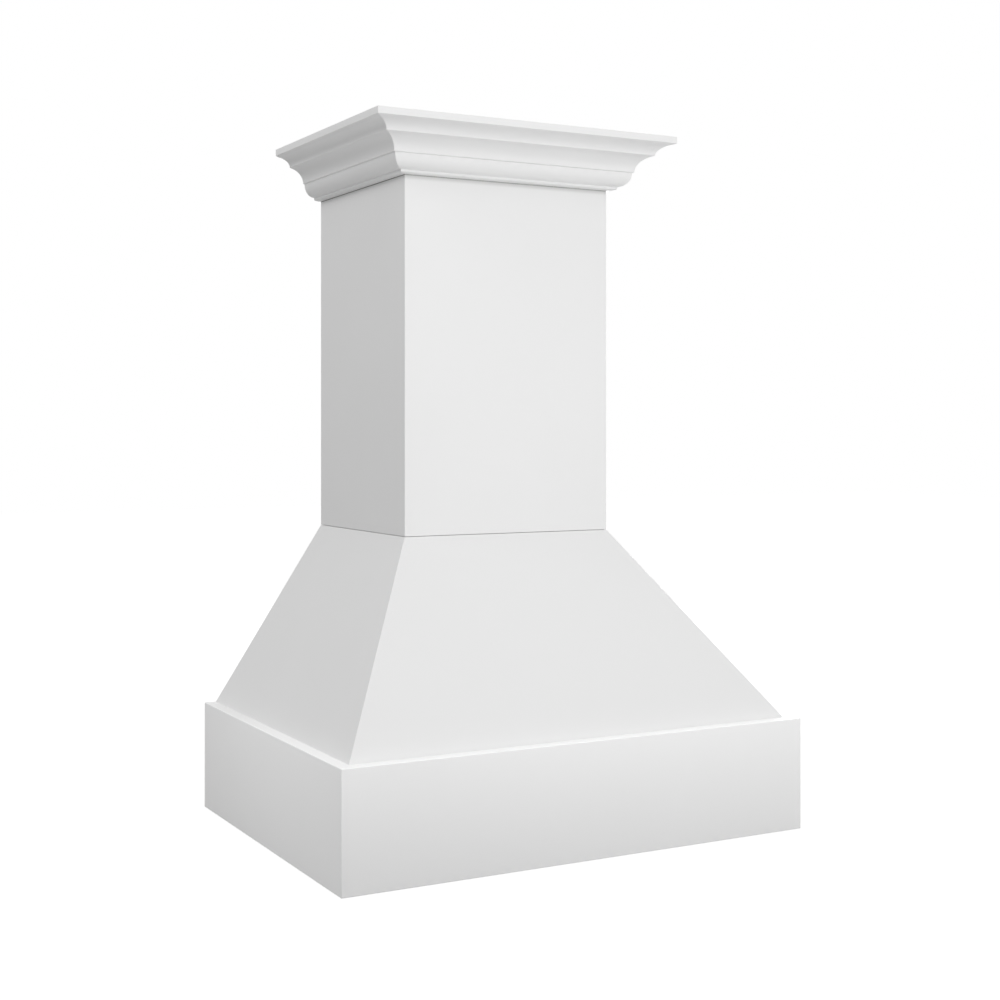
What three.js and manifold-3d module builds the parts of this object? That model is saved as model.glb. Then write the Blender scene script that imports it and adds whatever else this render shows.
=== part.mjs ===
// Wooden range hood cover: a mitred apron, a tapered skirt, a straight chimney and a sprung crown moulding,
// open at the back and at the bottom. Millimetres, +Z up, x = 0 on the plane of symmetry, the front towards
// -Y, the wall at y = +coverDepth / 2, and z = 0 on the apron's lower edge.
import * as THREE from "three";
import { mergeVertices } from "three/addons/utils/BufferGeometryUtils.js";
import Module from "manifold-3d";

const wasm = await Module();
wasm.setup();

// ---------------------------------------------------------------- driving dimensions
const coverWidth = 762; // 30 in
const coverDepth = 559; // 22 in, front of the apron to the wall
const coverHeight = 1072;
const apronHeight = 169;
const seamHeight = 450; // where the chimney stands on the skirt
const chimneyWidth = 357;
const chimneyDepth = 326;
const boardThickness = 19; // 3/4 in boards of the apron, the chimney and the frames
const skirtThickness = 12.7; // 1/2 in panels of the skirt, measured square to the panel
const crownHeight = 80.4;
const crownProjection = 80.5;

const clearance = 0.3; // glue line between pieces that bear on each other
const mitreGap = 0.2; // glue line in a visible mitre
const seamReveal = 0.6; // open shadow line between skirt and chimney
const easedEdge = 1.5; // radius on the apron's outer edges
const chimneyEasedEdge = 1.2;
const seamEasedEdge = 0.7;
const railEasedEdge = 1; // chamfer on the inner rails

const railWidth = 38; // 1 1/2 in ledgers, sills and stiles
const ledgerSetback = 38; // liner ledgers above the apron's lower edge
const frameRailWidth = 50; // flat rails of the collar, base and top frames
const wallRailHeight = 89; // 3 1/2 in hanging rails
const glueBlockLeg = 45;
const glueBlockTip = 6;
const hipBattenLeg = 40;
const hipBattenTip = 5;
const chimneyBattenSize = 32;

const wallHoleRadius = 3;
const wallSinkRadius = 6; // countersinks for the wall screws' heads
const studSpacing = 406; // 16 in, wall holes in the apron's back rail
const chimneyHoleSpacing = 200;

const screwHeadRadius = 5.5;
const screwHeadHeight = 3;
const screwHeadRim = 0.8;
const screwCrownRadius = 4.7; // where the head's domed top starts to fall
const screwShankRadius = 2.4;
const screwLength = 35.5;
const screwPointLength = 6;
const screwRecessWidth = 3.2;
const screwRecessDepth = 1.8;
const screwSpacing = 130;
const pilotFloor = 1.5; // wood left above the blind pilot holes

const cutOver = 1; // how far a cutting tool runs past the face that it cuts
const cornerSegments = 6;
const edgeSegments = 4;
const holeSegments = 20;
const crownSegments = 14;

// ---------------------------------------------------------------- derived places
const wallY = coverDepth / 2;
const apronInnerHalf = coverWidth / 2 - boardThickness;
const apronInnerFront = -wallY + boardThickness;

const chimneyHalf = chimneyWidth / 2;
const chimneyFrontY = wallY - chimneyDepth;
const chimneyInnerHalf = chimneyHalf - boardThickness;
const chimneyInnerFront = chimneyFrontY + boardThickness;
const chimneyFoot = seamHeight + seamReveal / 2;

const skirtRise = seamHeight - apronHeight;
const skirtTop = seamHeight - seamReveal / 2;
const sideRun = apronInnerHalf - chimneyHalf;
const frontRun = chimneyFrontY - apronInnerFront;
// A panel's thickness as it measures along x or y in a level cut.
const sideSlice = (skirtThickness * Math.hypot(sideRun, skirtRise)) / skirtRise;
const frontSlice = (skirtThickness * Math.hypot(frontRun, skirtRise)) / skirtRise;

const ductHalf = chimneyInnerHalf - frameRailWidth; // half the clear opening of the flat frames
const ductFront = chimneyInnerFront + frameRailWidth;
const ductBack = wallY - frameRailWidth;

const ledgerTop = ledgerSetback + boardThickness;
const sillTop = apronHeight - clearance;
const sillFoot = apronHeight - railWidth;
const wallRailFront = wallY - boardThickness;
const ledgerInnerHalf = apronInnerHalf - clearance - railWidth;
const ledgerInnerFront = apronInnerFront + clearance + railWidth;

const collarTop = seamHeight - clearance / 2;
const collarFoot = collarTop - boardThickness;
const baseFrameFoot = seamHeight + clearance / 2;
const baseFrameTop = baseFrameFoot + boardThickness;
const topFrameFoot = coverHeight - boardThickness;
const chimneyStileInner = chimneyInnerHalf - clearance - boardThickness;

// ---------------------------------------------------------------- materials
const paint = { color: 0xf1f1ef, roughness: 0.45, metalness: 0 };
const plywood = { color: 0xd9bd8f, roughness: 0.7, metalness: 0 };
const pine = { color: 0xe0c08a, roughness: 0.75, metalness: 0 };
const steel = { color: 0xb9b9b4, roughness: 0.35, metalness: 1 };

const cover = new THREE.Group();

function place(name, geometry, look) {
  const mesh = new THREE.Mesh(geometry, new THREE.MeshStandardMaterial(look));
  mesh.name = name;
  cover.add(mesh);
}

// ---------------------------------------------------------------- solids
function solidOf(geometry) {
  const bare = geometry.clone();
  bare.deleteAttribute("normal");
  bare.deleteAttribute("uv");
  const merged = mergeVertices(bare, 1e-4);
  const mesh = new wasm.Mesh({
    numProp: 3,
    vertProperties: merged.attributes.position.array,
    triVerts: new Uint32Array(merged.index.array),
  });
  return new wasm.Manifold(mesh);
}

function geometryOf(solid) {
  const mesh = solid.getMesh();
  const geometry = new THREE.BufferGeometry();
  geometry.setAttribute("position", new THREE.BufferAttribute(mesh.vertProperties, 3));
  geometry.setIndex(new THREE.BufferAttribute(mesh.triVerts, 1));
  const faceted = geometry.toNonIndexed();
  faceted.computeVertexNormals();
  return faceted;
}

function cut(geometry, ...tools) {
  return geometryOf(tools.reduce((rest, tool) => rest.subtract(solidOf(tool)), solidOf(geometry)));
}

function common(first, second) {
  return geometryOf(solidOf(first).intersect(solidOf(second)));
}

// The straight-sided solid between two like outlines of THREE.Vector3, whose ends are closed.
function loft(start, end) {
  const count = start.length;
  const across = new THREE.Vector3().subVectors(end[0], start[0]);
  const flat = flatten(start, across);
  const positions = [...start, ...end].flatMap((p) => [p.x, p.y, p.z]);
  const faces = [];
  for (const [a, b, c] of THREE.ShapeUtils.triangulateShape(flat, [])) {
    faces.push(a, b, c);
    faces.push(count + a, count + c, count + b);
  }
  const turns = THREE.ShapeUtils.isClockWise(flat);
  for (let i = 0; i < count; i += 1) {
    const j = (i + 1) % count;
    if (turns) faces.push(i, j, count + i, j, count + j, count + i);
    else faces.push(j, i, count + i, j, count + i, count + j);
  }
  const geometry = new THREE.BufferGeometry();
  geometry.setAttribute("position", new THREE.Float32BufferAttribute(positions, 3));
  geometry.setIndex(faces);
  if (signedVolume(geometry) < 0) geometry.setIndex(faces.reverse());
  const faceted = geometry.toNonIndexed();
  faceted.computeVertexNormals();
  return faceted;
}

// The outline seen along the main axis of the way across, as THREE.Vector2.
function flatten(outline, across) {
  const [x, y, z] = [Math.abs(across.x), Math.abs(across.y), Math.abs(across.z)];
  if (x >= y && x >= z) return outline.map((p) => new THREE.Vector2(p.y, p.z));
  if (y >= z) return outline.map((p) => new THREE.Vector2(p.x, p.z));
  return outline.map((p) => new THREE.Vector2(p.x, p.y));
}

function signedVolume(geometry) {
  const p = geometry.attributes.position;
  const index = geometry.index.array;
  const corner = (i) => new THREE.Vector3().fromBufferAttribute(p, index[i]);
  let six = 0;
  for (let i = 0; i < index.length; i += 3) {
    six += corner(i).dot(corner(i + 1).cross(corner(i + 2)));
  }
  return six;
}

// A level slab: its plan at the foot and at the head, as lists of [x, y].
function slab(footPlan, headPlan, foot, head) {
  return loft(
    footPlan.map(([x, y]) => new THREE.Vector3(x, y, foot)),
    headPlan.map(([x, y]) => new THREE.Vector3(x, y, head)),
  );
}

// A straight rail with chamfered long edges, from its lowest to its highest corner, running along one axis.
function rail(axis, low, high) {
  const [a, b] = { x: ["y", "z"], y: ["x", "z"], z: ["x", "y"] }[axis];
  const from = new THREE.Vector3(...low);
  const to = new THREE.Vector3(...high);
  const c = railEasedEdge;
  const corners = [
    [from[a] + c, from[b]],
    [to[a] - c, from[b]],
    [to[a], from[b] + c],
    [to[a], to[b] - c],
    [to[a] - c, to[b]],
    [from[a] + c, to[b]],
    [from[a], to[b] - c],
    [from[a], from[b] + c],
  ];
  const sectionAt = (along) =>
    corners.map(([u, v]) => {
      const p = new THREE.Vector3();
      p[axis] = along;
      p[a] = u;
      p[b] = v;
      return p;
    });
  return loft(sectionAt(from[axis]), sectionAt(to[axis]));
}

// The core of a round hole along +Y, from y = -cutOver to the length, with a 45 degree sink at y = 0 or none.
function holeCore(radius, length, sinkRadius = radius) {
  const outline = [
    new THREE.Vector2(0, -cutOver),
    new THREE.Vector2(sinkRadius > radius ? sinkRadius + cutOver : radius, -cutOver),
    new THREE.Vector2(radius, sinkRadius > radius ? sinkRadius - radius : 0),
    new THREE.Vector2(radius, length),
    new THREE.Vector2(0, length),
  ];
  return new THREE.LatheGeometry(outline, holeSegments);
}

// A board's hole for a wall screw, sunk on the inner face.
function wallHole(x, z) {
  return holeCore(wallHoleRadius, boardThickness + cutOver, wallSinkRadius).translate(x, wallRailFront, z);
}

// ---------------------------------------------------------------- members that wrap round three sides
// A section is a list of [out, z], out being measured outwards from the wrapped outline (half width, front).
// The front member is mitred at both ends, and a side member is mitred in front and cut square at the wall.
function wrapMember(section, half, front, side) {
  const back = mitreGap / Math.SQRT2;
  if (side === 0) {
    const end = (sign) =>
      section.map(([out, z]) => new THREE.Vector3(sign * (half + out - back), front - out, z));
    return loft(end(-1), end(1));
  }
  const wallEnd = section.map(([out, z]) => new THREE.Vector3(side * (half + out), wallY, z));
  const mitreEnd = section.map(([out, z]) => new THREE.Vector3(side * (half + out), front - out + back, z));
  return loft(wallEnd, mitreEnd);
}

const sides = { front: 0, left: -1, right: 1 };

function placeWrap(prefix, section, half, front, look, finish = (g) => g) {
  for (const [name, side] of Object.entries(sides)) {
    place(prefix + "_" + name, finish(wrapMember(section, half, front, side)), look);
  }
}

// A column with the plan's two front corners rounded, to ease the corners of what it is crossed with.
function easedColumn(half, front, radius, foot, head) {
  const plan = new THREE.Shape();
  plan.moveTo(-half, wallY + cutOver);
  plan.lineTo(-half, front + radius);
  plan.absarc(-half + radius, front + radius, radius, Math.PI, 1.5 * Math.PI, false);
  plan.lineTo(half - radius, front);
  plan.absarc(half - radius, front + radius, radius, 1.5 * Math.PI, 2 * Math.PI, false);
  plan.lineTo(half, wallY + cutOver);
  const options = { depth: head - foot + 2 * cutOver, bevelEnabled: false, curveSegments: cornerSegments };
  return new THREE.ExtrudeGeometry(plan, options).translate(0, 0, foot - cutOver);
}

// A board's section, whose outer edges are rounded at the foot and at the head.
function boardSection(foot, head, footRadius, headRadius) {
  const t = boardThickness;
  const shape = new THREE.Shape();
  shape.moveTo(0, foot);
  shape.lineTo(t - footRadius, foot);
  shape.absarc(t - footRadius, foot + footRadius, footRadius, -Math.PI / 2, 0, false);
  shape.lineTo(t, head - headRadius);
  if (headRadius > 0) shape.absarc(t - headRadius, head - headRadius, headRadius, 0, Math.PI / 2, false);
  shape.lineTo(0, head);
  return pointsOf(shape);
}

function pointsOf(shape) {
  const points = shape.getPoints(edgeSegments).map((p) => [p.x, p.y]);
  return points.filter(([a, b], i) => {
    const [c, d] = points[(i + 1) % points.length];
    return Math.hypot(a - c, b - d) > 1e-3;
  });
}

// ---------------------------------------------------------------- apron
function makeApron() {
  const section = boardSection(0, apronHeight, easedEdge, easedEdge);
  const column = easedColumn(coverWidth / 2, -wallY, easedEdge, 0, apronHeight);
  placeWrap("apron", section, apronInnerHalf, apronInnerFront, paint, (g) => common(g, column));

  const innerHalf = apronInnerHalf - clearance;
  const railFoot = ledgerTop + clearance;
  const board = rail("x", [-innerHalf, wallRailFront, railFoot], [innerHalf, wallY, sillTop]);
  const rows = [railFoot + railWidth / 2, sillTop - railWidth / 2];
  const holes = [-studSpacing / 2, studSpacing / 2].flatMap((x) => rows.map((z) => wallHole(x, z)));
  place("apron_back_rail", cut(board, ...holes), plywood);
}

function makeLedgers() {
  const outerHalf = apronInnerHalf - clearance;
  const outerFront = apronInnerFront + clearance;
  const backLedgerFront = wallY - railWidth;
  const low = ledgerSetback;
  const high = ledgerTop;
  const front = rail("x", [-outerHalf, outerFront, low], [outerHalf, ledgerInnerFront, high]);
  place("liner_ledger_front", front, pine);
  const back = rail("x", [-outerHalf, backLedgerFront, low], [outerHalf, wallY, high]);
  place("liner_ledger_back", back, pine);
  const from = ledgerInnerFront + clearance;
  const to = backLedgerFront - clearance;
  place("liner_ledger_left", rail("y", [-outerHalf, from, low], [-ledgerInnerHalf, to, high]), pine);
  place("liner_ledger_right", rail("y", [ledgerInnerHalf, from, low], [outerHalf, to, high]), pine);
}

// A three-cornered glue block with its two sharp tips cut off, in the corner (x, y) and reaching inwards.
function cornerPlan(x, y, inX, inY, leg, tip) {
  return [
    [x, y],
    [x + inX * leg, y],
    [x + inX * leg, y + inY * tip],
    [x + inX * tip, y + inY * leg],
    [x, y + inY * leg],
  ];
}

function makeGlueBlocks() {
  const x = apronInnerHalf - clearance;
  const frontY = apronInnerFront + clearance;
  const backY = wallRailFront - clearance;
  const foot = ledgerTop + clearance;
  const head = sillFoot - clearance;
  for (const [name, side] of [["left", -1], ["right", 1]]) {
    const frontPlan = cornerPlan(side * x, frontY, -side, 1, glueBlockLeg, glueBlockTip);
    place("apron_corner_block_" + name, slab(frontPlan, frontPlan, foot, head), pine);
    const backPlan = cornerPlan(side * x, backY, -side, -1, glueBlockLeg, glueBlockTip);
    place("apron_rear_block_" + name, slab(backPlan, backPlan, foot, head), pine);
  }
}

// ---------------------------------------------------------------- skirt
function makeSills() {
  const outerHalf = apronInnerHalf - clearance;
  const outerFront = apronInnerFront + clearance;
  const front = rail("x", [-outerHalf, outerFront, sillFoot], [outerHalf, ledgerInnerFront, sillTop]);
  place("skirt_sill_front", front, pine);
  const from = ledgerInnerFront + clearance;
  const to = wallRailFront - clearance;
  place("skirt_sill_left", rail("y", [-outerHalf, from, sillFoot], [-ledgerInnerHalf, to, sillTop]), pine);
  place("skirt_sill_right", rail("y", [ledgerInnerHalf, from, sillFoot], [outerHalf, to, sillTop]), pine);
}

// The skirt's faces in a level cut at height z: outside by default, or on the panels' inner faces.
function skirtOutside(z) {
  const share = (z - apronHeight) / skirtRise;
  return { half: apronInnerHalf - sideRun * share, front: apronInnerFront + frontRun * share };
}

function skirtInside(z, inset = 0) {
  const { half, front } = skirtOutside(z);
  return { half: half - sideSlice - inset, front: front + frontSlice + inset };
}

// The compound mitres fall out of the two level cuts: each hip joins the outer corner to the inner corner.
function makeSkirtPanels() {
  const back = mitreGap / Math.SQRT2;
  const frontPlan = (z) => {
    const outer = skirtOutside(z);
    const inner = skirtInside(z);
    return [
      [-outer.half + back, outer.front],
      [outer.half - back, outer.front],
      [inner.half - back, inner.front],
      [-inner.half + back, inner.front],
    ];
  };
  const sidePlan = (z, side) => {
    const outer = skirtOutside(z);
    const inner = skirtInside(z);
    return [
      [side * outer.half, wallY],
      [side * outer.half, outer.front + back],
      [side * inner.half, inner.front + back],
      [side * inner.half, wallY],
    ];
  };
  const panel = (plan) => slab(plan(apronHeight), plan(skirtTop), apronHeight, skirtTop);
  place("skirt_front", panel(frontPlan), paint);
  place("skirt_left", panel((z) => sidePlan(z, -1)), paint);
  place("skirt_right", panel((z) => sidePlan(z, 1)), paint);
}

function makeSkirtFraming() {
  const foot = apronHeight;
  const head = collarFoot - clearance;
  for (const [name, side] of [["left", -1], ["right", 1]]) {
    const battenPlan = (z) => {
      const inner = skirtInside(z, clearance);
      return cornerPlan(side * inner.half, inner.front, -side, 1, hipBattenLeg, hipBattenTip);
    };
    place("hip_batten_" + name, slab(battenPlan(foot), battenPlan(head), foot, head), pine);
    const stilePlan = (z) => {
      const outer = skirtInside(z, clearance).half;
      return [
        [side * outer, wallY - railWidth],
        [side * outer, wallY],
        [side * (outer - boardThickness), wallY],
        [side * (outer - boardThickness), wallY - railWidth],
      ];
    };
    place("skirt_rear_stile_" + name, slab(stilePlan(foot), stilePlan(head), foot, head), pine);
  }
}

// Screw places: two on each side rail of the collar.
const screwPlaces = [];
for (const side of [-1, 1]) {
  for (const along of [-1, 1]) {
    screwPlaces.push({
      name: (side < 0 ? "left" : "right") + (along < 0 ? "_front" : "_back"),
      side,
      x: side * (ductHalf + frameRailWidth / 2),
      y: (ductFront + ductBack) / 2 + (along * screwSpacing) / 2,
    });
  }
}

function screwHoles(side, foot, head) {
  return screwPlaces
    .filter((screw) => screw.side === side)
    .map(({ x, y }) => {
      const core = holeCore(screwShankRadius + clearance, head - foot).rotateX(Math.PI / 2);
      return core.translate(x, y, foot);
    });
}

// A flat frame of four butted rails round the duct opening. Its outline may taper with the height.
function makeFlatFrame(prefix, outlineAt, foot, head, holesFor) {
  const frontPlan = (z) => {
    const { half, front } = outlineAt(z);
    return [[-half, front], [half, front], [half, ductFront], [-half, ductFront]];
  };
  const backPlan = (z) => {
    const { half } = outlineAt(z);
    return [[-half, ductBack], [half, ductBack], [half, wallY], [-half, wallY]];
  };
  const sidePlan = (z, side) => {
    const { half } = outlineAt(z);
    const from = ductFront + clearance;
    const to = ductBack - clearance;
    return [[side * half, from], [side * ductHalf, from], [side * ductHalf, to], [side * half, to]];
  };
  const piece = (plan) => slab(plan(foot), plan(head), foot, head);
  place(prefix + "_front", piece(frontPlan), plywood);
  place(prefix + "_back", piece(backPlan), plywood);
  for (const [name, side] of [["left", -1], ["right", 1]]) {
    const railGeometry = piece((z) => sidePlan(z, side));
    const holes = holesFor(side);
    place(prefix + "_" + name, holes.length ? cut(railGeometry, ...holes) : railGeometry, plywood);
  }
}

function makeCollar() {
  const holesFor = (side) => screwHoles(side, collarFoot, collarTop + cutOver);
  makeFlatFrame("collar", (z) => skirtInside(z, clearance), collarFoot, collarTop, holesFor);
}

// ---------------------------------------------------------------- chimney
function chimneyInside() {
  return { half: chimneyInnerHalf - clearance, front: chimneyInnerFront + clearance };
}

function makeChimney() {
  const section = boardSection(chimneyFoot, coverHeight, seamEasedEdge, 0);
  const column = easedColumn(chimneyHalf, chimneyFrontY, chimneyEasedEdge, chimneyFoot, coverHeight);
  placeWrap("chimney", section, chimneyInnerHalf, chimneyInnerFront, paint, (g) => common(g, column));

  const holesFor = (side) => screwHoles(side, baseFrameFoot, baseFrameTop - pilotFloor);
  makeFlatFrame("chimney_base", chimneyInside, baseFrameFoot, baseFrameTop, holesFor);
  makeFlatFrame("chimney_top", chimneyInside, topFrameFoot, coverHeight, () => []);
}

function makeChimneyFraming() {
  const { half, front } = chimneyInside();
  const foot = baseFrameTop + clearance;
  const head = topFrameFoot - clearance;
  for (const [name, side] of [["left", -1], ["right", 1]]) {
    const plan = cornerPlan(side * half, front, -side, 1, chimneyBattenSize, hipBattenTip);
    place("chimney_corner_batten_" + name, slab(plan, plan, foot, head), pine);
    const xs = [side * half, side * chimneyStileInner].sort((a, b) => a - b);
    const stile = rail("z", [xs[0], wallY - railWidth, foot], [xs[1], wallY, head]);
    place("chimney_rear_stile_" + name, stile, pine);
  }
  const reach = chimneyStileInner - clearance;
  const hangingRail = (low, high) => {
    const board = rail("x", [-reach, wallRailFront, low], [reach, wallY, high]);
    const holes = [-chimneyHoleSpacing / 2, chimneyHoleSpacing / 2].map((x) => wallHole(x, (low + high) / 2));
    return cut(board, ...holes);
  };
  place("hanging_rail_low", hangingRail(foot, foot + wallRailHeight), plywood);
  place("hanging_rail_top", hangingRail(head - wallRailHeight, head), plywood);
}

// ---------------------------------------------------------------- crown moulding
// The face of the moulding from the top edge down to the foot, as [out, depth below the top]: a plain band
// with an undercut, two coves with a nose between them, a groove, an ovolo and a rounded foot.
const crownBand = 10.2;
const crownUndercut = 5.3; // how far the first cove starts behind the band
const crownUndercutDrop = 2;
const crownNose = { out: 55.8, depth: 27.7 };
const crownNoseStep = 3.3;
const crownNoseDrop = 1.3;
const crownGroove = { out: 32.2, depth: 52.6 };
const crownCoveStart = 18; // how many degrees off level each cove starts
const crownGrooveStep = 2.7;
const crownGrooveDrop = 1.4;
const crownOvoloFoot = { out: 13, depth: 75 };
const crownFoot = 12.3; // how far the foot stands out
const crownFootDrop = 0.9;
const crownFootUpright = 2.1; // the foot's upright part, above its rounding
const crownFootInner = 2.5; // how far from the chimney the rounding ends
const crownLand = 11.4; // the moulding's flat on the chimney
const crownTopEdge = 14; // the moulding's flat at the ceiling

// A hollow elliptic arc between two points. It leaves the first at the start angle and ends upright.
function hollowArc(from, to) {
  const start = THREE.MathUtils.degToRad(crownCoveStart);
  const points = [];
  for (let i = 0; i <= crownSegments; i += 1) {
    const turn = start + (i / crownSegments) * (Math.PI / 2 - start);
    const run = (Math.sin(turn) - Math.sin(start)) / (1 - Math.sin(start));
    const fall = 1 - Math.cos(turn) / Math.cos(start);
    points.push([from.out + (to.out - from.out) * run, from.depth + (to.depth - from.depth) * fall]);
  }
  return points;
}

// A rounded quarter ellipse between two points. It starts upright and ends level.
function roundArc(from, to) {
  const points = [];
  for (let i = 0; i <= crownSegments; i += 1) {
    const turn = (i / crownSegments) * (Math.PI / 2);
    const run = 1 - Math.cos(turn);
    points.push([from.out + (to.out - from.out) * run, from.depth + (to.depth - from.depth) * Math.sin(turn)]);
  }
  return points;
}

function crownFace() {
  const coveHead = { out: crownProjection - crownUndercut, depth: crownBand + crownUndercutDrop };
  const secondHead = { out: crownNose.out - crownNoseStep, depth: crownNose.depth + crownNoseDrop };
  const ovoloHead = { out: crownGroove.out - crownGrooveStep, depth: crownGroove.depth + crownGrooveDrop };
  const footRound = crownOvoloFoot.depth + crownFootDrop + crownFootUpright;
  return [
    [crownProjection, 0],
    [crownProjection, crownBand],
    ...hollowArc(coveHead, crownNose),
    ...hollowArc(secondHead, crownGroove),
    ...roundArc(ovoloHead, crownOvoloFoot),
    [crownFoot, crownOvoloFoot.depth + crownFootDrop],
    ...roundArc({ out: crownFoot, depth: footRound }, { out: crownFootInner, depth: crownHeight }),
  ];
}

// How far the sprung back of the moulding stands from the chimney at a depth below the top.
function crownBackAt(depth) {
  const share = 1 - depth / (crownHeight - crownLand);
  return clearance + (crownProjection - crownTopEdge - clearance) * share;
}

function makeCrown() {
  const onSection = (points) => points.map(([out, depth]) => [out, coverHeight - depth]);
  const back = [[clearance, crownHeight], [clearance, crownHeight - crownLand], [crownBackAt(0), 0]];
  const section = onSection([...crownFace(), ...back]);
  placeWrap("crown", section, chimneyHalf, chimneyFrontY, paint);

  const slopeLength = Math.hypot(crownBackAt(0) - clearance, crownHeight - crownLand);
  const level = (clearance * slopeLength) / (crownHeight - crownLand);
  const [head, foot] = [boardThickness, crownHeight - crownLand - boardThickness / 2];
  const nailer = onSection([
    [clearance, head],
    [crownBackAt(head) - level, head],
    [crownBackAt(foot) - level, foot],
    [clearance, foot],
  ]);
  placeWrap("crown_nailer", nailer, chimneyHalf, chimneyFrontY, pine);
}

// ---------------------------------------------------------------- screws between skirt and chimney
function screwGeometry() {
  const outline = new THREE.Path();
  outline.moveTo(0, -screwHeadHeight);
  outline.quadraticCurveTo(screwCrownRadius, -screwHeadHeight, screwHeadRadius, -screwHeadRim);
  outline.lineTo(screwHeadRadius, 0);
  outline.lineTo(screwShankRadius, 0);
  outline.lineTo(screwShankRadius, screwLength - screwPointLength);
  outline.lineTo(0, screwLength);
  const body = new THREE.LatheGeometry(outline.getPoints(edgeSegments), holeSegments).rotateX(Math.PI / 2);
  const recess = new THREE.BoxGeometry(screwRecessWidth, screwRecessWidth, 2 * screwRecessDepth);
  return cut(body, recess.translate(0, 0, -screwHeadHeight));
}

function makeScrews() {
  for (const { name, x, y } of screwPlaces) {
    const geometry = screwGeometry();
    place("joining_screw_" + name, geometry.translate(x, y, collarFoot - clearance), steel);
  }
}

makeApron();
makeLedgers();
makeGlueBlocks();
makeSills();
makeSkirtPanels();
makeSkirtFraming();
makeCollar();
makeChimney();
makeChimneyFraming();
makeCrown();
makeScrews();

export default cover;
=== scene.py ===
import math
import random

import bmesh
import bpy
from mathutils import Matrix, Vector


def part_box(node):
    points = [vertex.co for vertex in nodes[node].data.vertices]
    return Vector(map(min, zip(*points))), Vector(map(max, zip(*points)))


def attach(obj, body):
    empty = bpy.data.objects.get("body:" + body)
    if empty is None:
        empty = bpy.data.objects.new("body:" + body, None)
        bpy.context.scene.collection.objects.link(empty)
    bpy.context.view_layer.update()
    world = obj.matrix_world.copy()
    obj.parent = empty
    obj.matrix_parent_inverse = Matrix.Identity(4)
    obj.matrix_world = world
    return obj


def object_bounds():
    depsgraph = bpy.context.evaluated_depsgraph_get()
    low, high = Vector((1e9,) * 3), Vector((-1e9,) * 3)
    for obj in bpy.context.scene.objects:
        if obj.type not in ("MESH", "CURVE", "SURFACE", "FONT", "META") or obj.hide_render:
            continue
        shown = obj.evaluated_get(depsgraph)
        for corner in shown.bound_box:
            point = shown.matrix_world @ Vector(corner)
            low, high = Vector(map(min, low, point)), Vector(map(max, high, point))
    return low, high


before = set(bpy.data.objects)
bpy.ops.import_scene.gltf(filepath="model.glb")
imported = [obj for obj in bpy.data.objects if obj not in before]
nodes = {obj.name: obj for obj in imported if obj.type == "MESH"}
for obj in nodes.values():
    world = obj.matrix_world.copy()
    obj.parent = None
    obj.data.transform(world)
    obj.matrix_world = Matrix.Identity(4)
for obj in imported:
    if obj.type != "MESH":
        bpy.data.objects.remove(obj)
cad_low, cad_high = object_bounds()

# A painted wooden range hood cover: apron, tapered skirt, chimney and crown moulding. Lengths are in
# metres. The front looks to -Y, the wall is at the highest Y, and the lower edge lies at z = 0.

# ------------------------------------------------------------------ the cover's planes, from the frame
X, Y, Z = Vector((1, 0, 0)), Vector((0, 1, 0)), Vector((0, 0, 1))
wall_y = cad_high.y

skirt_low, skirt_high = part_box("skirt_front")
chimney_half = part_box("chimney_right")[1].x
chimney_front_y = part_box("chimney_front")[0].y
skirt_rise = skirt_high.z - skirt_low.z
front_run = chimney_front_y - skirt_low.y
side_run = skirt_high.x - chimney_half

# For each side: the way into the cover, the level way along its boards, how far its skirt panel leans in,
# the way into that panel, and the way up it.
inward = {"front": Y, "left": X, "right": -X}
level_grain = {"front": X, "left": Y, "right": Y}
skirt_run = {"front": front_run, "left": side_run, "right": side_run}
skirt_inward, skirt_uphill = {}, {}
for side, into in inward.items():
    skirt_inward[side] = (into * skirt_rise - Z * skirt_run[side]).normalized()
    skirt_uphill[side] = (into * skirt_run[side] + Z * skirt_rise).normalized()

WELD = 0.00001  # corners closer than this are one


# ------------------------------------------------------------------ node helpers
def rgb(red, green, blue):
    return (red, green, blue, 1.0)


WHITE = rgb(1, 1, 1)


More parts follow.
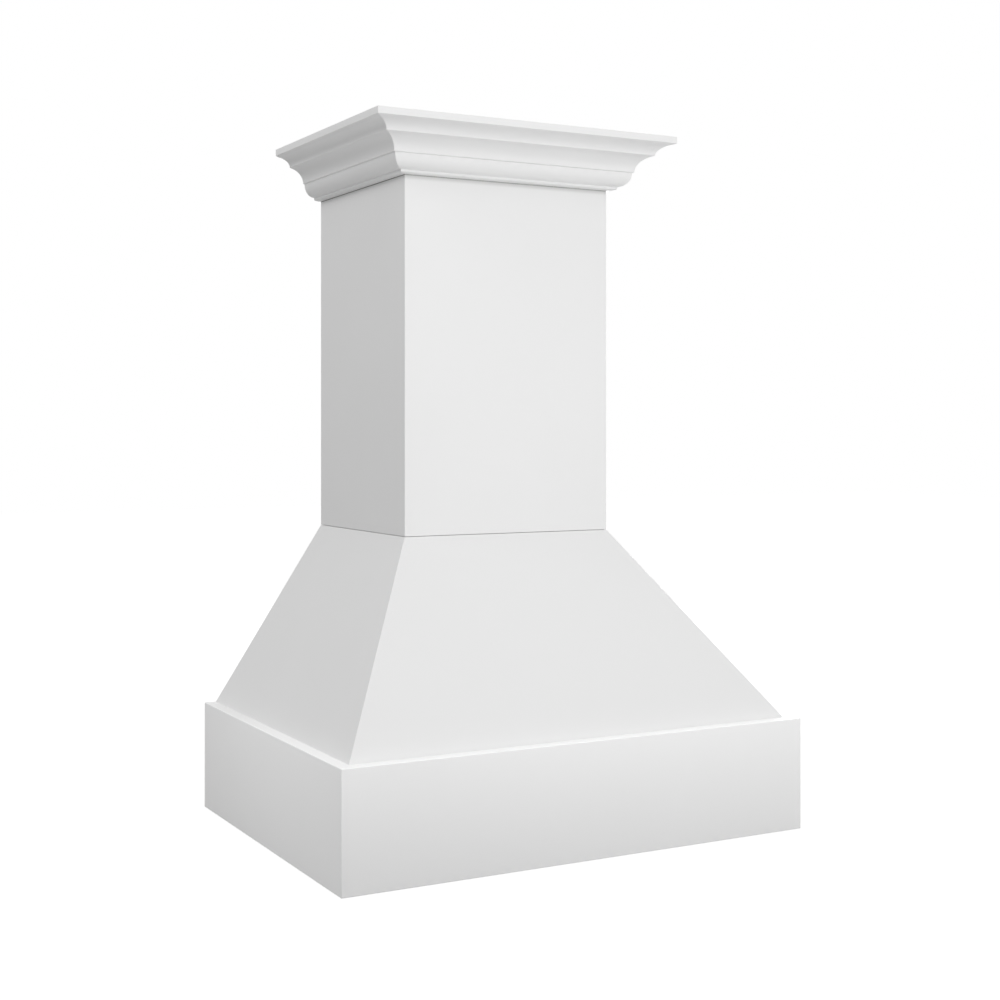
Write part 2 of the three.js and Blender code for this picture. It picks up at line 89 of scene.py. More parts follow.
class Shader:
    """The nodes of a material or a world. A value is a number, a colour or another node's output."""

    def __init__(self, owner, output="OutputMaterial"):
        owner.use_nodes = True
        self.owner = owner
        self.tree = owner.node_tree
        self.tree.nodes.clear()
        self.output = self.node(output)

    def node(self, kind, inputs=None, **settings):
        made = self.tree.nodes.new("ShaderNode" + kind)
        for key, value in settings.items():
            setattr(made, key, value)
        for key, value in (inputs or {}).items():
            self.put(made.inputs[key], value)
        return made

    def put(self, socket, value):
        if isinstance(value, bpy.types.NodeSocket):
            self.tree.links.new(value, socket)
        else:
            socket.default_value = value

    def place(self):
        """Where the shaded point lies."""
        return self.node("TexCoord").outputs["Object"]

    def normal(self):
        """The way that the surface looks."""
        return self.node("TexCoord").outputs["Normal"]

    def piece_random(self):
        """A number from 0 to 1 that each piece has for itself."""
        return self.node("ObjectInfo").outputs["Random"]

    def ray_is(self, *kinds):
        """1 for a ray of any of these kinds, and 0 for other rays."""
        path = self.node("LightPath")
        answer = path.outputs[kinds[0]]
        for kind in kinds[1:]:
            answer = self.math("MAXIMUM", answer, path.outputs[kind])
        return answer

    def math(self, operation, *values):
        return self.node("Math", dict(enumerate(values)), operation=operation).outputs[0]

    def plus(self, first, second):
        return self.math("ADD", first, second)

    def minus(self, first, second):
        return self.math("SUBTRACT", first, second)

    def times(self, first, second):
        return self.math("MULTIPLY", first, second)

    def length(self, vector):
        return self.node("VectorMath", {0: vector}, operation="LENGTH").outputs["Value"]

    def dot(self, vector, axis):
        inputs = {0: vector, 1: tuple(axis)}
        return self.node("VectorMath", inputs, operation="DOT_PRODUCT").outputs["Value"]

    def rise(self, value, low, high):
        """0 below low, 1 above high, and a smooth step between them."""
        inputs = {"Value": value, "From Min": low, "From Max": high}
        return self.node("MapRange", inputs, interpolation_type="SMOOTHSTEP").outputs[0]

    def fall(self, value, low, high):
        """1 below low, 0 above high, and a smooth step between them."""
        return self.minus(1.0, self.rise(value, low, high))

    def spread(self, value, low, high):
        """A value of 0 to 1 brought to the range from low to high."""
        return self.node("MapRange", {"Value": value, "To Min": low, "To Max": high}).outputs[0]

    def noise(self, place, frequency, detail):
        """Noise of 0 to 1. The frequency is in features to the metre, one for all axes or one for each."""
        along_axes = frequency if isinstance(frequency, tuple) else (frequency, frequency, frequency)
        scaled = self.node("VectorMath", {0: place, 1: along_axes}, operation="MULTIPLY").outputs[0]
        return self.node("TexNoise", {"Vector": scaled, "Scale": 1.0, "Detail": detail}).outputs["Fac"]

    # A Mix node has sockets for every kind of value: 2 and 3 take numbers, 6 and 7 take colours.
    def mix(self, share, first, second):
        """A number that goes from the first to the second as the share goes from 0 to 1."""
        return self.node("Mix", {0: share, 2: first, 3: second}, data_type="FLOAT").outputs[0]

    def tint(self, share, first, second):
        """A colour that goes from the first to the second as the share goes from 0 to 1."""
        return self.node("Mix", {0: share, 6: first, 7: second}, data_type="RGBA").outputs[2]

    def stain(self, colour, mask, other, strength):
        """The colour, with the other colour over it in this strength where the mask is 1."""
        return self.tint(self.times(mask, strength), colour, other)

    def bump(self, height, strength, distance):
        inputs = {"Strength": strength, "Distance": distance, "Height": height}
        return self.node("Bump", inputs).outputs[0]

    def choose(self, share, first, second):
        """The first shader where the share is 0, and the second where it is 1."""
        return self.node("MixShader", {0: share, 1: first.outputs[0], 2: second.outputs[0]})

    def surface(self, shader):
        """Gives the material or world this shader, and returns the material or world."""
        self.put(self.output.inputs["Surface"], shader.outputs[0])
        return self.owner

    def principled(self, inputs):
        return self.surface(self.node("BsdfPrincipled", inputs))


# ------------------------------------------------------------------ camera and light
def make_camera():
    """The photograph's camera, level and turned to the right, as it was fitted to the cover's corners."""
    frame_px = 1000
    focal_px = 1566.8
    principal_px = (473.3, 425.9)
    to_left, from_wall, height = 1.186, 2.4398, 0.6157
    level = math.radians(90)
    turn = 0.4885
    data = bpy.data.cameras.new("photo_camera")
    data.sensor_width = 36.0
    data.lens = focal_px * data.sensor_width / frame_px
    data.shift_x = 0.5 - principal_px[0] / frame_px
    data.shift_y = principal_px[1] / frame_px - 0.5
    camera = bpy.data.objects.new("photo_camera", data)
    camera.location = (-to_left, wall_y - from_wall, height)
    camera.rotation_euler = (level, 0, -turn)
    bpy.context.scene.collection.objects.link(camera)
    bpy.context.scene.camera = camera


def make_lamp(name, power, size, place, target, receivers=None):
    """A soft lamp of this power in watts, aimed at the target. With receivers, it reaches only those."""
    data = bpy.data.lights.new(name, "AREA")
    data.shape = "RECTANGLE"
    data.size, data.size_y = size
    data.energy = power
    lamp = bpy.data.objects.new(name, data)
    lamp.location = place
    lamp.rotation_euler = (Vector(target) - Vector(place)).to_track_quat("-Z", "Y").to_euler()
    lamp.visible_camera = False
    if receivers is not None:
        lamp.light_linking.receiver_collection = receivers
    bpy.context.scene.collection.objects.link(lamp)


def make_lamps(apron):
    """Lamps round the cover, and three that only reach the apron, which stands out from the rest."""
    middle = (0, 0, 0.5)
    head = (0, 0, 1.0)
    on_floor, over_floor = (0, -1.5, 0.012), (0, -1.5, 1)
    make_lamp("front", 18.7, (1.6, 1.0), (0.3, -3.2, 1.0), middle)
    make_lamp("front_right", 11.9, (1.4, 0.9), (1.8, -2.8, 0.3), middle)
    make_lamp("front_above", 3.0, (0.8, 0.6), (-0.2, -1.2, 2.1), head)
    make_lamp("front_floor", 10.5, (0.8, 0.4), on_floor, over_floor)
    make_lamp("left_above", 20.1, (1.4, 1.4), (-2.4, -0.3, 2.6), middle)
    make_lamp("overhead", 2.5, (3.0, 3.0), (0, 0, 3.0), middle)
    make_lamp("right_back", 34.0, (1.4, 1.0), (2.0, 2.2, 1.0), middle)
    make_lamp("apron_above", 12.6, (1.2, 1.2), (0.4, -0.5, 2.4), (0.2, -0.2, 0), apron)
    make_lamp("apron_front", 0.95, (0.9, 0.3), (0.3, -1.0, 0.7), (0.3, -0.28, 0.15), apron)
    make_lamp("apron_left", 0.46, (0.6, 0.1), (-0.75, -0.05, 0.36), (-0.38, -0.05, 0.1), apron)


def make_world():
    """A dome that lights evenly. The camera, reflections and clear things see it as plain white."""
    dome_strength, seen_strength = 0.47, 1.0
    world = bpy.data.worlds.new("studio")
    bpy.context.scene.world = world
    shader = Shader(world, "OutputWorld")
    dome = shader.node("Background", {"Color": WHITE, "Strength": dome_strength})
    seen = shader.node("Background", {"Color": WHITE, "Strength": seen_strength})
    sees_white = shader.ray_is("Is Camera Ray", "Is Glossy Ray", "Is Transmission Ray")
    shader.surface(shader.choose(sees_white, dome, seen))


# ------------------------------------------------------------------ raw wood
PLY = 0.00146  # thickness of one ply
RING = 0.0031  # width of one growth ring

VENEER = (rgb(0.76, 0.60, 0.40), rgb(0.65, 0.48, 0.29))
VENEER_FIGURE = rgb(0.55, 0.38, 0.21)
VENEER_PORE = rgb(0.36, 0.22, 0.11)
LONG_PLY = (rgb(0.70, 0.53, 0.33), rgb(0.58, 0.41, 0.23))
END_PLY = (rgb(0.47, 0.31, 0.17), rgb(0.30, 0.18, 0.09))
PLY_GLUE = rgb(0.2, 0.12, 0.06)
EARLY_WOOD = (rgb(0.83, 0.66, 0.42), rgb(0.76, 0.56, 0.32))
LATE_WOOD = (rgb(0.64, 0.42, 0.20), rgb(0.54, 0.33, 0.15))
PINE_FIBRE = rgb(0.48, 0.31, 0.15)

WOOD_ROUGHNESS = (0.58, 0.78)
WOOD_RELIEF = {"strength": 0.25, "distance": 0.0003}
WOOD_IOR = 1.45


def board_space(shader, along, deep):
    """The place in a board, along its grain, across it and into its thickness, and the depth alone. Each
    board is moved by a length of its own, up to the furthest, so that no two show the same figure."""
    furthest = 3.0
    place = shader.place()
    shift = shader.times(shader.piece_random(), furthest)
    lengthways = shader.plus(shader.dot(place, along), shift)
    sideways = shader.plus(shader.dot(place, along.cross(deep)), shift)
    depth = shader.dot(place, deep)
    space = shader.node("CombineXYZ", {"X": lengthways, "Y": sideways, "Z": depth}).outputs[0]
    return space, depth


def ply_edges(shader, space, depth):
    """Colour and height of the stacked plies, which run along and across by turns, glued together."""
    glue_line = (0.02, 0.1)  # from a ply's face, as a share of its thickness
    count = shader.math("DIVIDE", depth, PLY)
    crosswise = shader.math("PINGPONG", shader.math("FLOOR", count), 1.0)
    from_face = shader.math("PINGPONG", shader.math("FRACT", count), 0.5)
    fibres = shader.noise(space, (260, 260, 1500), detail=3.0)
    plies = shader.tint(crosswise, shader.tint(fibres, *LONG_PLY), shader.tint(fibres, *END_PLY))
    return shader.stain(plies, shader.fall(from_face, *glue_line), PLY_GLUE, strength=0.55), fibres


def birch_plywood(shader, along, deep):
    """Colour and height of birch plywood: rotary veneer on its faces, stacked plies on its edges."""
    edge_to_face = (0.72, 0.9)  # how squarely the surface looks out of the board
    broad_figure, fine_figure, pore_peaks = (0.3, 0.7), (0.45, 0.75), (0.60, 0.74)
    pore_depth = 0.6
    space, depth = board_space(shader, along, deep)
    squareness = shader.math("ABSOLUTE", shader.dot(shader.normal(), deep))
    edge = shader.fall(squareness, *edge_to_face)

    broad = shader.noise(space, (2.5, 26, 2), detail=4.0)
    fine = shader.noise(space, (7, 120, 7), detail=3.0)
    pores = shader.rise(shader.noise(space, (110, 2200, 60), detail=1.0), *pore_peaks)
    veneer = shader.tint(shader.rise(broad, *broad_figure), *VENEER)
    veneer = shader.stain(veneer, shader.rise(fine, *fine_figure), VENEER_FIGURE, strength=0.45)
    veneer = shader.stain(veneer, pores, VENEER_PORE, strength=0.35)
    veneer_height = shader.minus(fine, shader.times(pores, pore_depth))

    plies, ply_height = ply_edges(shader, space, depth)
    return shader.tint(edge, veneer, plies), shader.mix(edge, veneer_height, ply_height)


def late_wood_share(shader, space):
    """How dark the growth ring is at a place in a pine board. A ring darkens slowly and ends sharply. The
    rings go round a pith outside the board, and the grain bends a little."""
    bend_width = 0.02
    pith_half_width = 0.09
    pith_depth, pith_depth_spread = 0.035, 0.05
    darkening, ending = (0.35, 0.9), (0.93, 1.0)
    parts = shader.node("SeparateXYZ", {"Vector": space}).outputs
    wander = shader.noise(space, (1.6, 9, 9), detail=2.0)
    bend = shader.times(shader.minus(wander, 0.5), bend_width)
    sideways = shader.math("WRAP", parts["Y"], pith_half_width, -pith_half_width)
    pith = shader.plus(shader.times(shader.piece_random(), pith_depth_spread), pith_depth)
    down = shader.plus(shader.plus(parts["Z"], pith), bend)
    from_pith = shader.node("CombineXYZ", {"X": shader.plus(sideways, bend), "Y": down}).outputs[0]
    ring = shader.math("FRACT", shader.math("DIVIDE", shader.length(from_pith), RING))
    return shader.times(shader.rise(ring, *darkening), shader.fall(ring, *ending))


def sawn_pine(shader, along, deep):
    """Colour and height of planed pine."""
    dark_fibres = (0.5, 0.8)
    late_height = 0.5
    space, _ = board_space(shader, along, deep)
    late = late_wood_share(shader, space)
    fibres = shader.noise(space, (40, 1500, 1500), detail=2.0)
    broad = shader.noise(space, (3, 20, 20), detail=2.0)
    early_wood, late_wood = shader.tint(broad, *EARLY_WOOD), shader.tint(broad, *LATE_WOOD)
    colour = shader.stain(early_wood, late, late_wood, strength=0.75)
    colour = shader.stain(colour, shader.rise(fibres, *dark_fibres), PINE_FIBRE, strength=0.25)
    return colour, shader.plus(shader.times(late, late_height), fibres)


WOODS = {"plywood": birch_plywood, "pine": sawn_pine}


def raw_wood(name, wood, along, deep):
    shader = Shader(bpy.data.materials.new(name))
    colour, height = wood(shader, along, deep)
    inputs = {
        "Base Color": colour,
        "Roughness": shader.spread(height, *WOOD_ROUGHNESS),
        "Normal": shader.bump(height, **WOOD_RELIEF),
        "IOR": WOOD_IOR,
    }
    return shader.principled(inputs)


# ------------------------------------------------------------------ paint
PAINT = (rgb(0.87, 0.87, 0.87), rgb(0.855, 0.855, 0.853))
PAINT_ROUGHNESS = (0.36, 0.44)

# Painted shade in the joint under the crown, darker on the sides where less light falls: its colour, and
# its share in the painted shadow just under the line.
FRONT_JOINT_SHADE = (rgb(0.32, 0.32, 0.31), 0.5)
SIDE_JOINT_SHADE = (rgb(0.20, 0.20, 0.19), 0.12)


def paint_look(shader):
    """Colour, roughness and height of the sprayed satin coat: orange peel, specks, and a cloudy sheen."""
    speck_peaks = (0.78, 0.86)
    speck_height = 0.7
    place = shader.place()
    cloud = shader.noise(place, 5, detail=2.0)
    peel = shader.noise(place, 420, detail=1.0)
    specks = shader.rise(shader.noise(place, 900, detail=0.0), *speck_peaks)
    height = shader.plus(peel, shader.times(specks, speck_height))
    return shader.tint(cloud, *PAINT), shader.spread(cloud, *PAINT_ROUGHNESS), height


def all_painted(name):
    shader = Shader(bpy.data.materials.new(name))
    colour, roughness, height = paint_look(shader)
    relief = shader.bump(height, strength=0.03, distance=0.0002)
    return shader.principled({"Base Color": colour, "Roughness": roughness, "Normal": relief})


def painted_joint_shade(shader, joint_height, margin_share):
    """1 in the thin line under a joint at this height, a painted shade where the crown's shadow falls, and
    the margin's share below the line, a painted shadow which fades out. Behind the moulding above, there
    is none."""
    line_width, line_fade, line_raggedness = 0.0010, 0.0006, 0.0004
    margin_width = 0.0085
    shade_ends, shade_full = -0.006, -0.003
    place = shader.place()
    below = shader.minus(joint_height, shader.dot(place, Z))
    ragged = shader.times(shader.noise(place, 60, detail=3.0), line_raggedness)
    line = shader.fall(shader.plus(below, ragged), line_width, line_width + line_fade)
    margin = shader.times(shader.fall(below, 0.0, margin_width), margin_share)
    # painted shade in the joint and painted shadow below it, ending behind the moulding
    return shader.times(shader.math("MAXIMUM", line, margin), shader.rise(below, shade_ends, shade_full))


def painted_board(name, wood, along, deep, outside, cut_at_wall, joint=None):
    """Paint on the outside and the edges of a board, raw wood inside, and raw wood where it was cut at the
    wall. The paint runs round an edge and ends raggedly. Outside is where the outer face lies along deep.
    A joint is its height, the colour of its painted shade and the share of the painted shadow below it."""
    looks_in, looks_back = (0.35, 0.5), (0.5, 0.7)  # the normal's part that way, from paint to raw wood
    foot_wrap, foot_raggedness = (0.002, 0.016), 0.018
    cut_wrap, cut_raggedness = (0.0006, 0.0022), 0.003
    peel_share = 0.1  # height of the orange peel, to that of the grain
    shader = Shader(bpy.data.materials.new(name))
    paint_colour, paint_roughness, paint_height = paint_look(shader)
    wood_colour, wood_height = wood(shader, along, deep)
    if joint is not None:
        height, joint_shade, margin_share = joint
        # Painted shade in the joint under the crown, with a painted shadow fading below it.
        paint_colour = shader.tint(painted_joint_shade(shader, height, margin_share), paint_colour, joint_shade)

    place, normal = shader.place(), shader.normal()
    ragged = shader.minus(shader.noise(place, 90, detail=4.0), 0.5)
    inner = shader.rise(shader.dot(normal, deep), *looks_in)
    above_foot = shader.plus(shader.dot(place, Z), shader.times(ragged, foot_raggedness))
    raw = shader.times(inner, shader.rise(above_foot, *foot_wrap))
    if cut_at_wall:
        behind = shader.rise(shader.dot(normal, Y), *looks_back)
        depth = shader.minus(shader.dot(place, deep), outside)
        ragged_depth = shader.plus(depth, shader.times(ragged, cut_raggedness))
        raw = shader.math("MAXIMUM", raw, shader.times(behind, shader.rise(ragged_depth, *cut_wrap)))

    relief = shader.mix(raw, shader.times(paint_height, peel_share), wood_height)
    inputs = {
        "Base Color": shader.tint(raw, paint_colour, wood_colour),
        "Roughness": shader.mix(raw, paint_roughness, shader.spread(wood_height, *WOOD_ROUGHNESS)),
        "Normal": shader.bump(relief, **WOOD_RELIEF),
    }
    return shader.principled(inputs)


# ------------------------------------------------------------------ steel and glue
STEEL, STEEL_ROUGHNESS = (rgb(0.66, 0.65, 0.62), rgb(0.56, 0.55, 0.50)), (0.28, 0.45)
GLUE, GLUE_ROUGHNESS = (rgb(0.82, 0.74, 0.55), rgb(0.72, 0.60, 0.38)), (0.22, 0.4)


def zinc_steel():
    shader = Shader(bpy.data.materials.new("zinc_plated_steel"))
    place = shader.place()
    cloud = shader.noise(place, 300, detail=2.0)
    fine = shader.noise(place, 2500, detail=1.0)
    inputs = {
        "Base Color": shader.tint(cloud, *STEEL),
        "Metallic": 1.0,
        "Roughness": shader.spread(cloud, *STEEL_ROUGHNESS),
        "Normal": shader.bump(fine, strength=0.1, distance=0.0001),
    }
    return shader.principled(inputs)


def dried_glue():
    shader = Shader(bpy.data.materials.new("dried_wood_glue"))
    cloud = shader.noise(shader.place(), 250, detail=2.0)
    inputs = {
        "Base Color": shader.tint(cloud, *GLUE),
        "Roughness": shader.spread(cloud, *GLUE_ROUGHNESS),
        "Normal": shader.bump(cloud, strength=0.2, distance=0.0004),
    }
    return shader.principled(inputs)


# ------------------------------------------------------------------ the floor
def floor_white():
    """Grey to the light, for a faint shadow, and glowing up to white for the camera. The glow grows with
    the distance from the cover, where less light falls. From below the floor is clear, and what touches it
    is lit as if through it."""
    grey = rgb(0.45, 0.45, 0.45)
    near, far = 0.9, 2.4
    near_glow, far_glow = 0.725, 0.80
    mirrored_glow = 0.42
    touching_glow, touching_reach = 0.5, 0.0012
    shader = Shader(bpy.data.materials.new("floor_white"))
    seen_glow = shader.spread(shader.rise(shader.length(shader.place()), near, far), near_glow, far_glow)
    seen = shader.times(shader.ray_is("Is Camera Ray", "Is Transmission Ray"), seen_glow)
    mirrored = shader.times(shader.ray_is("Is Glossy Ray"), mirrored_glow)
    ray_length = shader.node("LightPath").outputs["Ray Length"]
    short = shader.math("LESS_THAN", ray_length, touching_reach)
    touching = shader.times(shader.times(shader.ray_is("Is Diffuse Ray"), short), touching_glow)
    strength = shader.plus(shader.plus(seen, mirrored), touching)
    lit = shader.node("BsdfDiffuse", {"Color": grey})
    glow = shader.node("Emission", {"Color": WHITE, "Strength": strength})
    top = shader.node("AddShader", {0: lit.outputs[0], 1: glow.outputs[0]})
    from_below = shader.node("NewGeometry").outputs["Backfacing"]
    return shader.surface(shader.choose(from_below, top, shader.node("BsdfTransparent")))


def make_floor():
    """A wide white floor, a hair below the cover."""
    half_width = 9.0
    drop = 0.0005
    mesh = bpy.data.meshes.new("floor")
    corners = [(x * half_width, y * half_width, 0) for x, y in ((-1, -1), (1, -1), (1, 1), (-1, 1))]
    mesh.from_pydata(corners, [], [(0, 1, 2, 3)])
    mesh.materials.append(floor_white())
    floor = bpy.data.objects.new("floor", mesh)
    floor.location.z = -drop
    bpy.context.scene.collection.objects.link(floor)


# ------------------------------------------------------------------ the carried-over pieces
def smoothing():
    """Nodes that weld a piece's triangles and round the shading over edges flatter than the limit."""
    limit = math.radians(26)
    group = bpy.data.node_groups.new("weld_and_smooth", "GeometryNodeTree")
    for way in ("INPUT", "OUTPUT"):
        group.interface.new_socket("Geometry", in_out=way, socket_type="NodeSocketGeometry")

    def add(kind, **settings):
        made = group.nodes.new(kind)
        for key, value in settings.items():
            setattr(made, key, value)
        return made

    start, end = add("NodeGroupInput"), add("NodeGroupOutput")
    plain = add("GeometryNodeRemoveAttribute")
    plain.inputs["Name"].default_value = "custom_normal"
    welded = add("GeometryNodeMergeByDistance")
    welded.inputs["Distance"].default_value = WELD
    angle = add("GeometryNodeInputMeshEdgeAngle")
    flat = add("FunctionNodeCompare", data_type="FLOAT", operation="LESS_THAN")
    flat.inputs["B"].default_value = limit
    edges = add("GeometryNodeSetShadeSmooth", domain="EDGE")
    faces = add("GeometryNodeSetShadeSmooth", domain="FACE")
    link = group.links.new
    link(start.outputs[0], plain.inputs["Geometry"])
    link(plain.outputs["Geometry"], welded.inputs["Geometry"])
    link(welded.outputs["Geometry"], edges.inputs["Geometry"])
    link(angle.outputs["Unsigned Angle"], flat.inputs["A"])
    link(flat.outputs["Result"], edges.inputs["Shade Smooth"])
    link(edges.outputs["Geometry"], faces.inputs["Geometry"])
    link(faces.outputs["Geometry"], end.inputs[0])
    return group


def painted_boards():
    """Each painted board: its family, side and wood, the way of its grain, and the way into it."""
    for side, into in inward.items():
        yield "apron", side, birch_plywood, level_grain[side], into
        yield "skirt", side, birch_plywood, skirt_uphill[side], skirt_inward[side]
        yield "chimney", side, birch_plywood, Z, into
        yield "crown", side, sawn_pine, level_grain[side], into


def painted_looks():
    """The material of each painted board. Those at the sides were cut at the wall, and those of the
    chimney have painted shade in the joint under the crown, with a painted shadow below it."""
    crown_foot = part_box("crown_front")[0].z
    looks = {}
    for family, side, wood, along, deep in painted_boards():
        name = family + "_" + side
        outside = min(vertex.co.dot(deep) for vertex in nodes[name].data.vertices)
        # painted shade under the crown: darker on the sides than on the front, where more light falls
        joint_shade = FRONT_JOINT_SHADE if side == "front" else SIDE_JOINT_SHADE
        joint = (crown_foot, *joint_shade) if family == "chimney" else None
        looks[name] = painted_board(name + "_finish", wood, along, deep, outside, side != "front", joint)
    return looks


def grain_and_depth(node):
    """The long and the thin way of an inner piece, by the skirt's slope or hip, or else by its box."""
    family, _, side = node.rpartition("_")
    if family == "skirt_rear_stile":
        return skirt_uphill[side], skirt_inward[side]
    if family == "hip_batten":
        hip = inward[side] * side_run + Y * front_run + Z * skirt_rise
        return hip.normalized(), (skirt_inward["front"] + skirt_inward[side]).normalized()
    low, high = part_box(node)
    size = high - low
    by_size = sorted((0, 1, 2), key=lambda axis: size[axis])
    axes = (X, Y, Z)
    return axes[by_size[2]], axes[by_size[0]]


def ease_edges(node):
    """The arrises of a raw piece, taken off with sandpaper."""
    bevel = node.modifiers.new("eased_edges", "BEVEL")
    bevel.width = 0.0006
    bevel.segments = 2
    bevel.limit_method = "ANGLE"
    bevel.angle_limit = math.radians(40)
    bevel.harden_normals = True


def finish_nodes(steel):
    """Materials, smooth shading, and eased edges on the raw pieces. The hanging rails keep sharp edges, as
    easing them would leave thin grooves between their countersunk holes."""
    group = smoothing()
    painted = painted_looks()
    for name, node in nodes.items():
        slot = node.data.materials[0].name.split(".")[0]
        raw = name not in painted and slot in WOODS
        if raw:
            look = raw_wood(name + "_finish", WOODS[slot], *grain_and_depth(name))
        else:
            look = painted.get(name, steel)
        node.material_slots[0].material = look
        modifier = node.modifiers.new("weld_and_smooth", "NODES")
        modifier.node_group = group
        if raw and not name.startswith("hanging_rail"):
            ease_edges(node)


# ------------------------------------------------------------------ added pieces
def add_piece(name, bm, material, smooth_angle=None):
    """Makes the mesh a piece of the cover, smooth over edges flatter than the angle, if one is given."""
    bmesh.ops.recalc_face_normals(bm, faces=bm.faces)
    if smooth_angle is not None:
        for face in bm.faces:
            face.smooth = True
        for edge in bm.edges:
            edge.smooth = len(edge.link_faces) == 2 and edge.calc_face_angle(0) < smooth_angle
    mesh = bpy.data.meshes.new(name)
    bm.to_mesh(mesh)
    bm.free()
    mesh.materials.append(material)
    piece = bpy.data.objects.new(name, mesh)
    bpy.context.scene.collection.objects.link(piece)
    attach(piece, "root")
    return piece


def skin(bm, loops):
    """Faces from each loop of vertices to the next, and one over each end."""
    count = len(loops[0])
    for near, far in zip(loops, loops[1:]):
        for i in range(count):
            j = (i + 1) % count
            bm.faces.new((near[i], near[j], far[j], far[i]))
    bm.faces.new(loops[0][::-1])
    bm.faces.new(loops[-1])


def fill_mitre(family, side, paint):
    """The filler in a mitre: the side member's mitre face, swept over the gap to the front member."""
    parallel = 0.9999  # cosine between normals that look the same way
    towards = Vector((inward[side].x, -1, 0)).normalized()
    member, front = nodes[family + "_" + side].data, nodes[family + "_front"].data
    mitre = max(member.polygons, key=lambda polygon: polygon.normal.dot(towards))
    normal = mitre.normal.copy()
    facing = min(front.polygons, key=lambda polygon: polygon.normal.dot(normal))
    gap = (front.vertices[facing.vertices[0]].co - member.vertices[mitre.vertices[0]].co).dot(normal)
    bm = bmesh.new()
    for polygon in member.polygons:
        if polygon.normal.dot(normal) > parallel:
            bm.faces.new([bm.verts.new(member.vertices[i].co) for i in polygon.vertices])
    bmesh.ops.remove_doubles(bm, verts=bm.verts, dist=WELD)
    swept = bmesh.ops.extrude_face_region(bm, geom=bm.faces[:])
    moved = [part for part in swept["geom"] if isinstance(part, bmesh.types.BMVert)]
    bmesh.ops.translate(bm, vec=normal * gap, verts=moved)
    return add_piece(family + "_mitre_filler_" + side, bm, paint)


def fill_mitres():
    """The fillers of the two front corners, by family."""
    fillers = {}
    for family in ("apron", "skirt", "chimney", "crown"):
        paint = all_painted(family + "_filler_paint")
        fillers[family] = [fill_mitre(family, side, paint) for side in ("left", "right")]
    return fillers


def apron_collection(fillers):
    """The apron's boards and these fillers, for the lamps that reach nothing else."""
    apron = bpy.data.collections.new("apron_boards")
    for piece in [nodes["apron_" + side] for side in inward] + fillers:
        apron.objects.link(piece)
    return apron


def add_screw(bm, seat, out, spin):
    """A washer-head screw with a cross recess, on its seat, with its head looking along out."""
    steps = 32
    sunk = 0.0002
    washer_radius, washer_height, washer_chamfer = 0.0045, 0.0007, 0.0003
    washer_rim, dome_base = 0.6, 1.2  # heights, as shares of the washer's
    dome_radius, dome_fillet = 0.0029, 0.0004
    head_height = 0.0023
    dome_side, brow = 0.65, 0.93  # heights, as shares of the head's
    brow_radius = 0.86  # as a share of the dome's
    arm, arm_half = 0.0021, 0.00045
    recess_floor, recess_taper = 0.0009, 0.6
    nearly_nothing = 1e-6
    turn = Matrix.Rotation(spin, 3, "Z")
    stand = out.to_track_quat("Z", "Y").to_matrix()

    def circle(radius):
        return lambda angle: radius

    def cross(scale):
        def reach(angle):
            folded = (angle + math.pi / 4) % (math.pi / 2) - math.pi / 4
            side = arm_half / max(abs(math.sin(folded)), nearly_nothing)
            return scale * min(arm / math.cos(folded), side)
        return reach

    # The outline and the height of each ring, from the washer over the dome and down into the recess.
    rings = (
        (circle(washer_radius), -sunk),
        (circle(washer_radius), washer_height * washer_rim),
        (circle(washer_radius - washer_chamfer), washer_height),
        (circle(dome_radius + dome_fillet), washer_height * dome_base),
        (circle(dome_radius), head_height * dome_side),
        (circle(dome_radius * brow_radius), head_height * brow),
        (cross(1.0), head_height),
        (cross(recess_taper), recess_floor),
    )
    loops = []
    for reach, height in rings:
        loop = []
        for step in range(steps):
            angle = 2 * math.pi * step / steps
            corner = Vector((math.cos(angle), math.sin(angle), 0)) * reach(angle) + Z * height
            loop.append(bm.verts.new(seat + stand @ (turn @ corner)))
        loops.append(loop)
    skin(bm, loops)


def face_line(node, out, along):
    """The two ends of the centre line of the face that looks out, on a piece that runs along."""
    tolerance = 0.0001
    corners = [vertex.co for vertex in nodes[node].data.vertices]
    front = max(corner.dot(out) for corner in corners)
    face = [corner for corner in corners if corner.dot(out) > front - tolerance]
    across = out.cross(along)
    sideways = [corner.dot(across) for corner in face]
    lengthways = [corner.dot(along) for corner in face]
    middle = across * ((min(sideways) + max(sideways)) / 2) + out * front
    return middle + along * min(lengthways), middle + along * max(lengthways)


def screw_rows():
    """Each screwed piece, with the way its screw heads look, the way their row runs, and their number."""
    on_level, on_stile = 5, 4
    for side, into in inward.items():
        yield "liner_ledger_" + side, into, level_grain[side], on_level
        yield "skirt_sill_" + side, into, level_grain[side], on_level
    for side in ("left", "right"):
        yield "skirt_rear_stile_" + side, skirt_inward[side], skirt_uphill[side], on_stile
        yield "chimney_rear_stile_" + side, inward[side], Z, on_stile


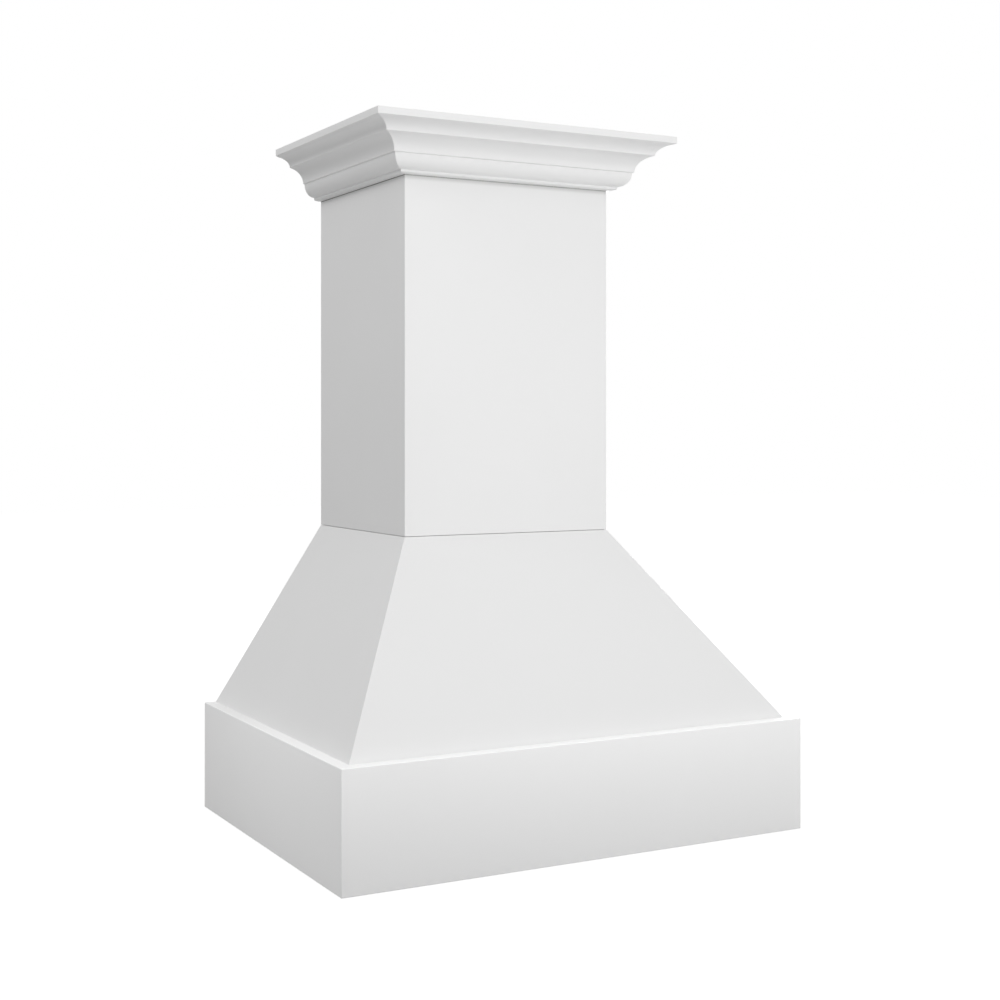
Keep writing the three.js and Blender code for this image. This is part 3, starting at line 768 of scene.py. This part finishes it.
def make_screws(steel):
    """Screws that hold the ledgers, sills and stiles to the boards behind them."""
    chance = random.Random(11)
    for carrier, out, along, count in screw_rows():
        start, end = face_line(carrier, out, along)
        bm = bmesh.new()
        for number in range(count):
            share = (number + 0.5) / count
            add_screw(bm, start.lerp(end, share), out, chance.uniform(0, math.pi))
        add_piece(carrier + "_screws", bm, steel, smooth_angle=math.radians(35))


def add_bead(bm, start, end, first, second, chance):
    """Glue squeezed out along an inner corner between two faces, which look along first and second. Its
    radius wanders, and tapers to a tip at both ends."""
    step = 0.006
    thin, thick, wander = 0.0005, 0.0021, 0.00045
    tip, taper_steps = 0.0001, 3
    belly = 0.62  # how far the bead bulges out along both faces, as a share of its radius
    buried = 0.0004
    count = max(int((end - start).length / step), 2)
    radius = chance.uniform(thin, thick)
    loops = []
    for number in range(count + 1):
        radius = min(max(radius + chance.gauss(0, wander), thin), thick)
        reach = radius * min(number, count - number, taper_steps) / taper_steps + tip
        at = start.lerp(end, number / count)
        shape = ((-buried, -buried), (reach, -buried), (reach * belly, reach * belly), (-buried, reach))
        loops.append([bm.verts.new(at + first * a + second * b) for a, b in shape])
    skin(bm, loops)


def make_glue(glue):
    """Beads of glue where the corner battens and glue blocks meet the side board and a second piece."""
    end_gap = (0.004, 0.02)
    # The way that the second piece's face looks, by what is glued to it.
    second_faces = {"chimney_corner_batten_": Y, "apron_corner_block_": Y, "apron_rear_block_": -Y}
    chance = random.Random(4)
    for side in ("left", "right"):
        into = inward[side]
        for family, out in second_faces.items():
            low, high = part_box(family + side)
            glued_x, free_x = (low.x, high.x) if into.x > 0 else (high.x, low.x)
            glued_y, free_y = (low.y, high.y) if out.y > 0 else (high.y, low.y)
            bm = bmesh.new()
            for x, y in ((free_x, glued_y), (glued_x, free_y)):
                foot = Vector((x, y, low.z + chance.uniform(*end_gap)))
                head = Vector((x, y, high.z - chance.uniform(*end_gap)))
                add_bead(bm, foot, head, into, out, chance)
            add_piece(family + side + "_glue", bm, glue, smooth_angle=math.radians(70))


make_camera()
make_world()
make_floor()
steel = zinc_steel()
finish_nodes(steel)
fillers = fill_mitres()
make_screws(steel)
make_glue(dried_glue())
make_lamps(apron_collection(fillers["apron"]))

bpy.context.scene.view_settings.view_transform = "Standard"
